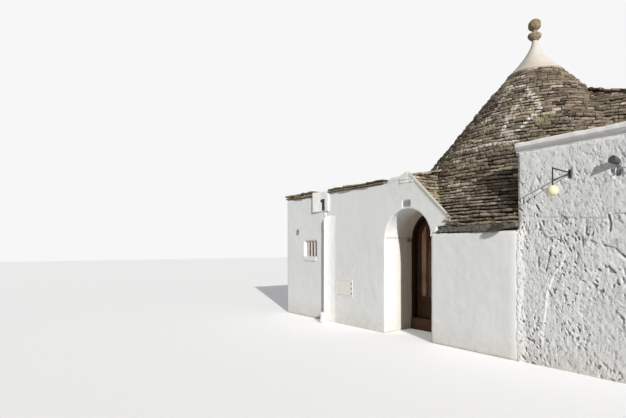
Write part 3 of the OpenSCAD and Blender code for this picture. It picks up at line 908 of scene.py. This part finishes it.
def slope_courses(build, foot_point, along, climb, length, shows, to_ridge, lift=None):
    """Level courses on a flat roof slope.

    foot_point lies on the slope at the lowest course, along is level with the slope on
    its left, and climb is the slope's run for each metre of rise. shows tells whether a
    slab is in the open, to_ridge gives the distance to the ridge, lift how far a slab
    stands out.
    """
    outward = Vector((along.y, -along.x, 0))
    for z, height in LEVELS:
        base = foot_point - outward * (climb * (z + height / 2 - foot_point.z))
        base.z = z

        def open_at(at):
            return shows(base + along * at, height)

        for start, end in open_stretches(open_at, length):
            for at, size in slab_lengths(start, end):
                proud = rng.uniform(*SLAB_PROUD)
                front = []
                for place in spread(at, size, 4):
                    p = base + along * place
                    p += outward * (proud + rng.uniform(-0.005, 0.005) + (lift(p) if lift else 0))
                    front.append(swayed(p))
                centre = front[2]
                depth = min(SLAB_BACK, max(0.03, to_ridge(centre) - 0.01))
                lay_slab(build, front, outward * -depth, height * rng.uniform(*SLAB_FILL),
                         shade_at(centre), None, moss_at(centre))


def ridge_slabs(build, start, end, across, drop, height):
    """Flat stones laid across a ridge, one after another."""
    run = end - start
    side = across / 2
    for at, size in slab_lengths(0.0, run.length):
        shift = rng.uniform(-0.012, 0.012)
        front = []
        for place in spread(at, size, 3):
            p = start + run.normalized() * place
            p -= side * rng.uniform(0.92, 1.08)
            front.append(p + Vector((0, 0, shift - drop + rng.uniform(-0.003, 0.003))))
        lay_slab(build, front, across, height * rng.uniform(0.8, 1.0), shade_at(front[0]),
                 None, moss_at(front[0]))


def saddle_slabs():
    """Both slopes and the ridge of the right roof."""
    build = Builder()
    end_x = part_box("saddle_roof")[1].x - 0.02
    run = math.cos(RIDGE_FALL) / RIDGE_PITCH
    lean = math.sin(RIDGE_FALL) / RIDGE_PITCH
    reach = end_x + 0.9

    def shows(p, height, side):
        in_cone = math.hypot(p.x, p.y) < cone_radius(p.z) - 0.05
        return not in_cone and p.z > TERRACE_Z - 0.05 and SADDLE_START_X < p.x < end_x - 0.01 \
            and side * p.y > 0.02 and p.z + height < ridge_height(p.x) + 0.015

    for side in (-1, 1):
        x = SADDLE_START_X if side < 0 else reach
        foot = Vector((x, side * run * (ridge_height(x) - FOOT_Z), FOOT_Z))
        along = Vector((-side, lean, 0)).normalized()
        slope_courses(build, foot, along, run * abs(along.x), (reach - SADDLE_START_X) * 1.2,
                      lambda p, height, s=side: shows(p, height, s), lambda p: abs(p.y))
    start, end = (Vector((x, 0, ridge_height(x))) for x in (1.02, end_x - 0.12))
    ridge_slabs(build, start, end, Vector((0, 0.24, 0)), 0.05, 0.06)
    build.finish("saddle_slabs", SLABS)


def dormer_slabs():
    """Both slopes and the ridge of the small roof behind the gable."""
    build = Builder()
    front_y = FRONT_Y + 0.014
    length = 1.35
    lean = math.sin(DORMER_RISE)
    run = math.cos(DORMER_RISE)

    def shows(p, height, side):
        lowest = FOOT_Z if side > 0 else TERRACE_Z - 0.03
        return math.hypot(p.x, p.y) > cone_radius(p.z) - 0.05 and p.y > front_y \
            and side * (p.x - GABLE_X) > 0.015 and p.z > lowest \
            and p.z + height < dormer_ridge(p.y) + 0.015

    def lift(p):
        return 0.042 * max(0.0, 1 - (p.y - FRONT_Y) / 0.35)

    for side in (1, -1):
        y = front_y - 0.3 if side > 0 else front_y + length
        foot = Vector((GABLE_X + side * run * (dormer_ridge(y) - FOOT_Z), y, FOOT_Z))
        along = Vector((lean, side, 0)).normalized()
        slope_courses(build, foot, along, run * abs(along.y), length + 0.3,
                      lambda p, height, s=side: shows(p, height, s),
                      lambda p: abs(p.x - GABLE_X), lift)
    start, end = (Vector((GABLE_X, y, dormer_ridge(y))) for y in (front_y, -2.12))
    ridge_slabs(build, start, end, Vector((-0.2, 0, 0)), 0.035, 0.05)
    build.finish("dormer_slabs", SLABS)


roof_heart("cone_roof", 0.045, 0.066)
roof_heart("saddle_roof", 0.040, 0.062)
roof_heart("dormer_roof", 0.025, 0.040)
cone_slabs()
saddle_slabs()
dormer_slabs()
pinnacle_skirt()


def rough_coping(node, along, outward, reach):
    """Two layers of rough slabs along a wall's top, in the place of a coping."""
    low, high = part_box(node)
    build = Builder()
    corner = Vector((low.x if max(along.x, -outward.x) > 0 else high.x,
                     low.y if max(along.y, -outward.y) > 0 else high.y, 0))
    size = high - low
    length = abs(along.dot(size))
    depth = abs(outward.dot(size))
    layer = size.z / 2
    for bottom in (low.z, low.z + layer):
        at = 0.0
        while at < length - 0.02:
            step = min(rng.uniform(0.16, 0.55), length - at)
            if length - at - step < 0.12:
                step = length - at
            back = rng.uniform(-reach, 0.05)
            tilt = rng.uniform(-0.014, 0.014)
            front = []
            for i, place in enumerate(spread(at, step, 5)):
                t = i / 5
                wave = 0.016 * noise.noise(Vector((at + step * t, bottom * 9, 3.0)) * 3.3)
                p = corner + along * place
                p -= outward * (back + rng.uniform(0.0, 0.012) + abs(wave))
                front.append(p + Vector((0, 0, bottom + wave + tilt * (t - 0.5))))
            lay_slab(build, front, -outward * (depth - back - 0.02),
                     layer * rng.uniform(0.62, 1.0), shade_at(front[0]))
            at += step
    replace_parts(build.finish(node + "_slabs", COPING), node)


def copings():
    """The dark stone edges of the terrace."""
    right, front = Vector((1, 0, 0)), Vector((0, -1, 0))
    rough_coping("left_coping", right, front, 0.02)
    rough_coping("bay_coping", right, front, 0.02)
    rough_coping("party_coping", front, -right, 0.0)
    rough_coping("back_coping", -right, -front, 0.0)


copings()


# Rough plaster on the right wall

# The upright ridge in the plaster, as (height, x); the wall left of it stands a little proud
RIDGE_LINE = ((0.0, 1.50), (0.41, 1.505), (1.10, 1.58), (1.33, 1.652), (1.53, 1.777),
              (1.75, 1.85))
RIDGE_TOP = RIDGE_LINE[-1][0]


def ridge_line(z):
    """Where the plaster's ridge stands at a height below its top."""
    for (z0, x0), (z1, x1) in zip(RIDGE_LINE, RIDGE_LINE[1:]):
        if z <= z1:
            break
    return x0 + (x1 - x0) * (z - z0) / (z1 - z0)


# Cracks between the stones under the plaster: how dark, then a line of (x, height)
CRACKS = (
    (0.30, ((1.31, 2.195), (1.55, 2.17), (1.79, 2.155), (2.05, 2.127), (2.32, 2.125))),
    (0.80, ((1.72, 2.23), (1.82, 2.13))),
    (0.90, ((2.335, 2.16), (2.35, 2.037), (2.34, 1.95))),
    (0.45, ((2.40, 2.17), (2.60, 2.155))),
    (1.00, ((2.285, 1.763), (2.40, 1.726), (2.434, 1.676), (2.516, 1.604), (2.72, 1.43))),
    (0.60, ((2.413, 1.837), (2.413, 1.726))),
    (0.90, ((1.608, 1.70), (1.582, 1.56), (1.555, 1.39))),
    (0.70, ((1.448, 1.585), (1.448, 1.445))),
    (0.80, ((1.407, 2.363), (1.462, 2.26))),
    (0.35, ((2.075, 2.10), (2.07, 1.90))),
    (0.60, ((2.027, 1.87), (2.027, 1.75))),
    (0.80, ((2.40, 0.90), (2.485, 0.81))),
)


def flake_height(u, v):
    """A height between 0 and 1, the same all over one flake of an irregular pattern."""
    nearest = noise.voronoi(Vector((u, v, 0.0)))[1][0]
    return math.modf(abs(math.sin(nearest.x * 12.99 + nearest.y * 78.23)) * 437.58)[0]


def near_crack(p):
    """How deep in a crack a point lies: 0 a finger's width beside it."""
    here = p.xy
    return max(dark * (1 - step_up(0.007, 0.021, off_line(line, here))) for dark, line in CRACKS)


# Where lamps are fixed to the rough wall, as (x, height, half width, half height)
FITTINGS = ((1.860, 2.765, 0.016, 0.064), (2.440, 2.700, 0.026, 0.044))


def beside_fitting(x, z):
    """1 where a lamp's plate is fixed on the wall, with a soft rim."""
    away = min(max(abs(x - fit_x) - half_width, abs(z - fit_z) - half_height)
               for fit_x, fit_z, half_width, half_height in FITTINGS)
    return 1 - step_up(0.0, 0.03, away)


# The strokes and stones lean to the left at their upper end
LEAN_COS, LEAN_SIN = 0.94, 0.34


def rough_relief(x, z):
    """How far the rough plaster stands out at a point of the wall, and how much painted shade lies
    in its cracks and pits.
    """
    p = Vector((x, z, 0.0))
    bent = p + noise.noise_vector(p * 4.0) * 0.05
    across = bent.x * LEAN_COS + bent.y * LEAN_SIN
    upward = bent.y * LEAN_COS - bent.x * LEAN_SIN
    lumps = noise.fractal(Vector((across * 6, upward * 4, 2.0)), 0.9, 2.0, 3)
    coarse = flake_height(across * 13, upward * 8.5)
    fine = flake_height(across * 36, upward * 22)
    zone = step_up(-0.22, 0.30, noise.noise(p * 1.9 + Vector((3, 8, 1))))
    zone = (0.35 + 0.65 * zone) * (0.35 + 0.65 * step_up(0.10, 0.60, ROUGH_TOP - z))
    out = 0.020 + 0.008 * noise.noise(p * 1.5) + 0.005 * lumps
    out += zone * (0.006 * (coarse - 0.5) + 0.007 * (fine - 0.5))
    pit = zone if fine > 0.85 else 0.0
    ragged = 0.55 + 0.45 * step_up(-0.35, 0.0, noise.noise(p * 6.0))
    crack = near_crack(bent * 0.25 + p * 0.75) * ragged
    out -= 0.015 * pit + 0.013 * crack
    if z < RIDGE_TOP:
        to_ridge = ridge_line(z) + 0.012 * noise.noise(p * 5) - x
        proud = clamp(0.5 + to_ridge / 0.02)
        fade = min(1.0, (RIDGE_TOP - z) / 0.2) * clamp(1 - to_ridge / 0.5)
        out += 0.014 * proud * fade * step_up(0.15, 0.50, z)
    # painted shade in the cracks and the deepest pits
    crack_painted_shade = max(0.95 * crack, 0.75 * pit if fine > 0.91 else 0.0)
    return out * (1 - 0.85 * beside_fitting(x, z)), crack_painted_shade


def corner_sweep(x, z):
    """How far the smooth front's plaster carries on over the rough wall's left edge."""
    width = 0.13 + 0.05 * noise.noise(Vector((z * 1.7, 0.0, 0.0)))
    return 0.030 * (1 - step_up(0.0, width, x - ROUGH_X)) * (1 - step_up(1.97, 2.05, z))


def rough_wall():
    """The right wall's skin: rubble under many coats of lime wash."""
    cell = 0.0086
    columns = round((RIGHT_X - ROUGH_X) / cell)
    rows = round(ROUGH_TOP / cell)
    rim = 0.03
    build = Builder()
    lines, crack_painted_shade = [], []
    for j in range(rows + 1):
        z = ROUGH_TOP * j / rows
        line = []
        for i in range(columns + 1):
            x = ROUGH_X + (RIGHT_X - ROUGH_X) * i / columns
            edge = min(1.0, (RIGHT_X - x) / rim, (ROUGH_TOP - z) / rim)
            if z > 2.0:
                edge = min(edge, (x - ROUGH_X) / rim)
            out, dark = rough_relief(x, z)
            y = ROUGH_Y - max(0.001, out) * edge - corner_sweep(x, z)
            line.append(build.point((x, y, z)))
            crack_painted_shade.append(dark)
        lines.append(line)
    build.sheet(lines, shades=crack_painted_shade)
    build.finish("rough_plaster_skin", ROUGH, smooth=True)


rough_wall()


# Small pieces on the walls

def box_mesh(name, low, high, mat):
    """A bar with slightly cut long edges."""
    build = Builder()
    (left, front, bottom), (right, back, top) = low, high
    cut = 0.18 * min(right - left, back - front)
    outline = ((left + cut, front), (right - cut, front), (right, front + cut),
               (right, back - cut), (right - cut, back), (left + cut, back),
               (left, back - cut), (left, front + cut))
    rings = [[build.point((x, y, z)) for x, y in outline] for z in (bottom, top)]
    build.sheet(rings, closed=True)
    build.face(rings[0][::-1])
    build.face(rings[1])
    build.finish(name, mat)


def gable_bands():
    """Two thin flat bands across the top of the gable, left from older layers of lime."""
    build = Builder()
    left = GABLE_X - 0.19
    for low in (GABLE_Z - 0.160, GABLE_Z - 0.100):
        right = GABLE_X + GABLE_Z - low - 0.035
        steps = 14
        rows = []
        for y, z in ((0.02, 0.0), (-0.017, 0.0), (-0.014, 0.024), (0.02, 0.034)):
            row = []
            for i in range(steps + 1):
                x = left + (right - left) * i / steps
                wave = 0.004 * noise.noise(Vector((x * 9, low * 5, 0)))
                row.append(build.point((x, FRONT_Y + y - 2 * wave, low + z + wave)))
            rows.append(row)
        build.sheet(rows)
        build.face([row[0] for row in rows][::-1])
        build.face([row[-1] for row in rows])
    build.finish("gable_bands", PLASTER)


def window_bars():
    """Three painted upright bars in front of the small window."""
    low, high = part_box("window_pane")
    for number, part in enumerate((0.20, 0.50, 0.80), 1):
        x = low.x + (high.x - low.x) * part
        box_mesh(f"window_bar_{number}", (x - 0.020, low.y - 0.075, low.z - 0.02),
                 (x + 0.020, low.y - 0.050, high.z + 0.02), BARS)


def bay_fitting():
    """The small grey box on the bay's wall, with its lid."""
    x, z = -4.53, 2.145
    box_mesh("bay_fitting_box", (x - 0.022, BAY_Y - 0.026, z - 0.062),
             (x + 0.022, BAY_Y + 0.02, z + 0.062), LAMP_IRON)
    box_mesh("bay_fitting_lid", (x - 0.016, BAY_Y - 0.032, z - 0.052),
             (x + 0.016, BAY_Y - 0.024, z + 0.052), GREY)


def slot_lining():
    """The slot for rain water in the plastered block, lined with a dark sheet as painted shade, and
    a dark mark at its mouth.
    """
    low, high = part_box("spout_block")
    left, right = low.x + 0.326, low.x + 0.428
    back, front = low.y + 0.030, low.y - 0.002
    bottom, top = low.z + 0.010, low.z + 0.285
    build = Builder()
    outline = ((left, bottom), (right, bottom + 0.012), (right - 0.008, top - 0.006),
               (left - 0.010, top), (left - 0.050, top - 0.012), (left - 0.052, top - 0.062),
               (left - 0.006, top - 0.070))
    near, far = ([build.point((x, y, z)) for x, z in outline] for y in (front, back))
    build.sheet((far, near), closed=True)
    build.face(near[::-1])
    build.face(far)
    build.finish("slot_lining", SLOT_PAINTED_SHADE)


def cabinet_edge():
    """The band of paler plaster round the meter cabinet, and the door's hinge knuckles."""
    low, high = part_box("cabinet_door")
    gap, width = 0.004, 0.030
    build = Builder()
    near_y, far_y = FRONT_Y - 0.007, FRONT_Y + 0.02
    rings = []
    for out, y in ((gap, far_y), (gap, near_y), (width, near_y), (width + 0.010, FRONT_Y + 0.006)):
        rings.append([build.point((x, y, z)) for x, z in (
            (low.x - out, low.z - out), (high.x + out, low.z - out),
            (high.x + out, high.z + out), (low.x - out, high.z + out))])
    build.sheet(rings[::-1], closed=True)
    build.finish("cabinet_plaster_edge", METER)
    for number, part in enumerate((0.16, 0.50, 0.84), 1):
        z = low.z + (high.z - low.z) * part
        box_mesh(f"cabinet_hinge_{number}", (high.x + 0.006, near_y - 0.008, z - 0.022),
                 (high.x + 0.022, near_y + 0.01, z + 0.022), LAMP_IRON)


gable_bands()
slot_lining()
bay_fitting()
cabinet_edge()
window_bars()


# Stage, light and camera

SUN_TRAVEL = (-0.85, 0.365, -0.38)
EYE = (4.307, -9.469, 1.727)
SIGHT = (-0.791, 0.6115, 0)


def aim(obj, direction):
    """Turns a lamp or a camera along a direction."""
    obj.rotation_mode = "QUATERNION"
    obj.rotation_quaternion = Vector(direction).to_track_quat("-Z", "Y")


def seen_directly(tree):
    """1 for rays from the camera, and for those that gloss or glass sends on."""
    path = add(tree, "ShaderNodeLightPath")
    seen = path.outputs["Is Camera Ray"]
    for label in ("Is Glossy Ray", "Is Transmission Ray"):
        seen = maths(tree, "MAXIMUM", seen, path.outputs[label])
    return seen


def stage():
    """A plain pale floor."""
    mesh = bpy.data.meshes.new("floor")
    size = 60
    mesh.from_pydata([(-size, -size, 0), (size, -size, 0), (size, size, 0), (-size, size, 0)], [],
                     [(0, 1, 2, 3)])
    floor = new_object("stage_floor", mesh)
    mat, tree, shader = new_material("stage_floor")
    seen = seen_directly(tree)
    surface(tree, shader, mix(tree, seen, (0.62, 0.62, 0.62), (0.90, 0.90, 0.90)), 0.9, 0.2)
    shader.inputs["Emission Color"].default_value = (1, 1, 1, 1)
    tree.links.new(times(tree, seen, 0.16), shader.inputs["Emission Strength"])
    dress(floor, mat)


def light():
    """Soft sky light, and a low sun from the right of the street."""
    world = bpy.data.worlds.new("studio")
    bpy.context.scene.world = world
    world.use_nodes = True
    tree = world.node_tree
    back = tree.nodes["Background"]
    back.inputs["Color"].default_value = (0.95, 0.97, 1.0, 1)
    back.inputs["Strength"].default_value = 0.24
    white = add(tree, "ShaderNodeBackground", in_Strength=0.93, in_Color=(1, 1, 1, 1))
    choose = add(tree, "ShaderNodeMixShader")
    for number, output in enumerate((seen_directly(tree), back.outputs[0], white.outputs[0])):
        tree.links.new(output, choose.inputs[number])
    tree.links.new(choose.outputs[0], tree.nodes["World Output"].inputs["Surface"])
    key = bpy.data.lights.new("key", "SUN")
    key.energy = 4.05
    key.angle = math.radians(1.2)
    key.color = (1.0, 0.98, 0.955)
    aim(new_object("key", key), SUN_TRAVEL)


def camera():
    """The photo's viewpoint: at eye height across the street, from the house's right."""
    cam = bpy.data.cameras.new("camera")
    cam.sensor_width = 36
    cam.lens = 24.15
    cam.shift_y = 0.0623
    obj = new_object("camera", cam)
    obj.location = EYE
    aim(obj, SIGHT)
    bpy.context.scene.camera = obj
    bpy.context.scene.view_settings.view_transform = "Standard"


stage()
light()
camera()
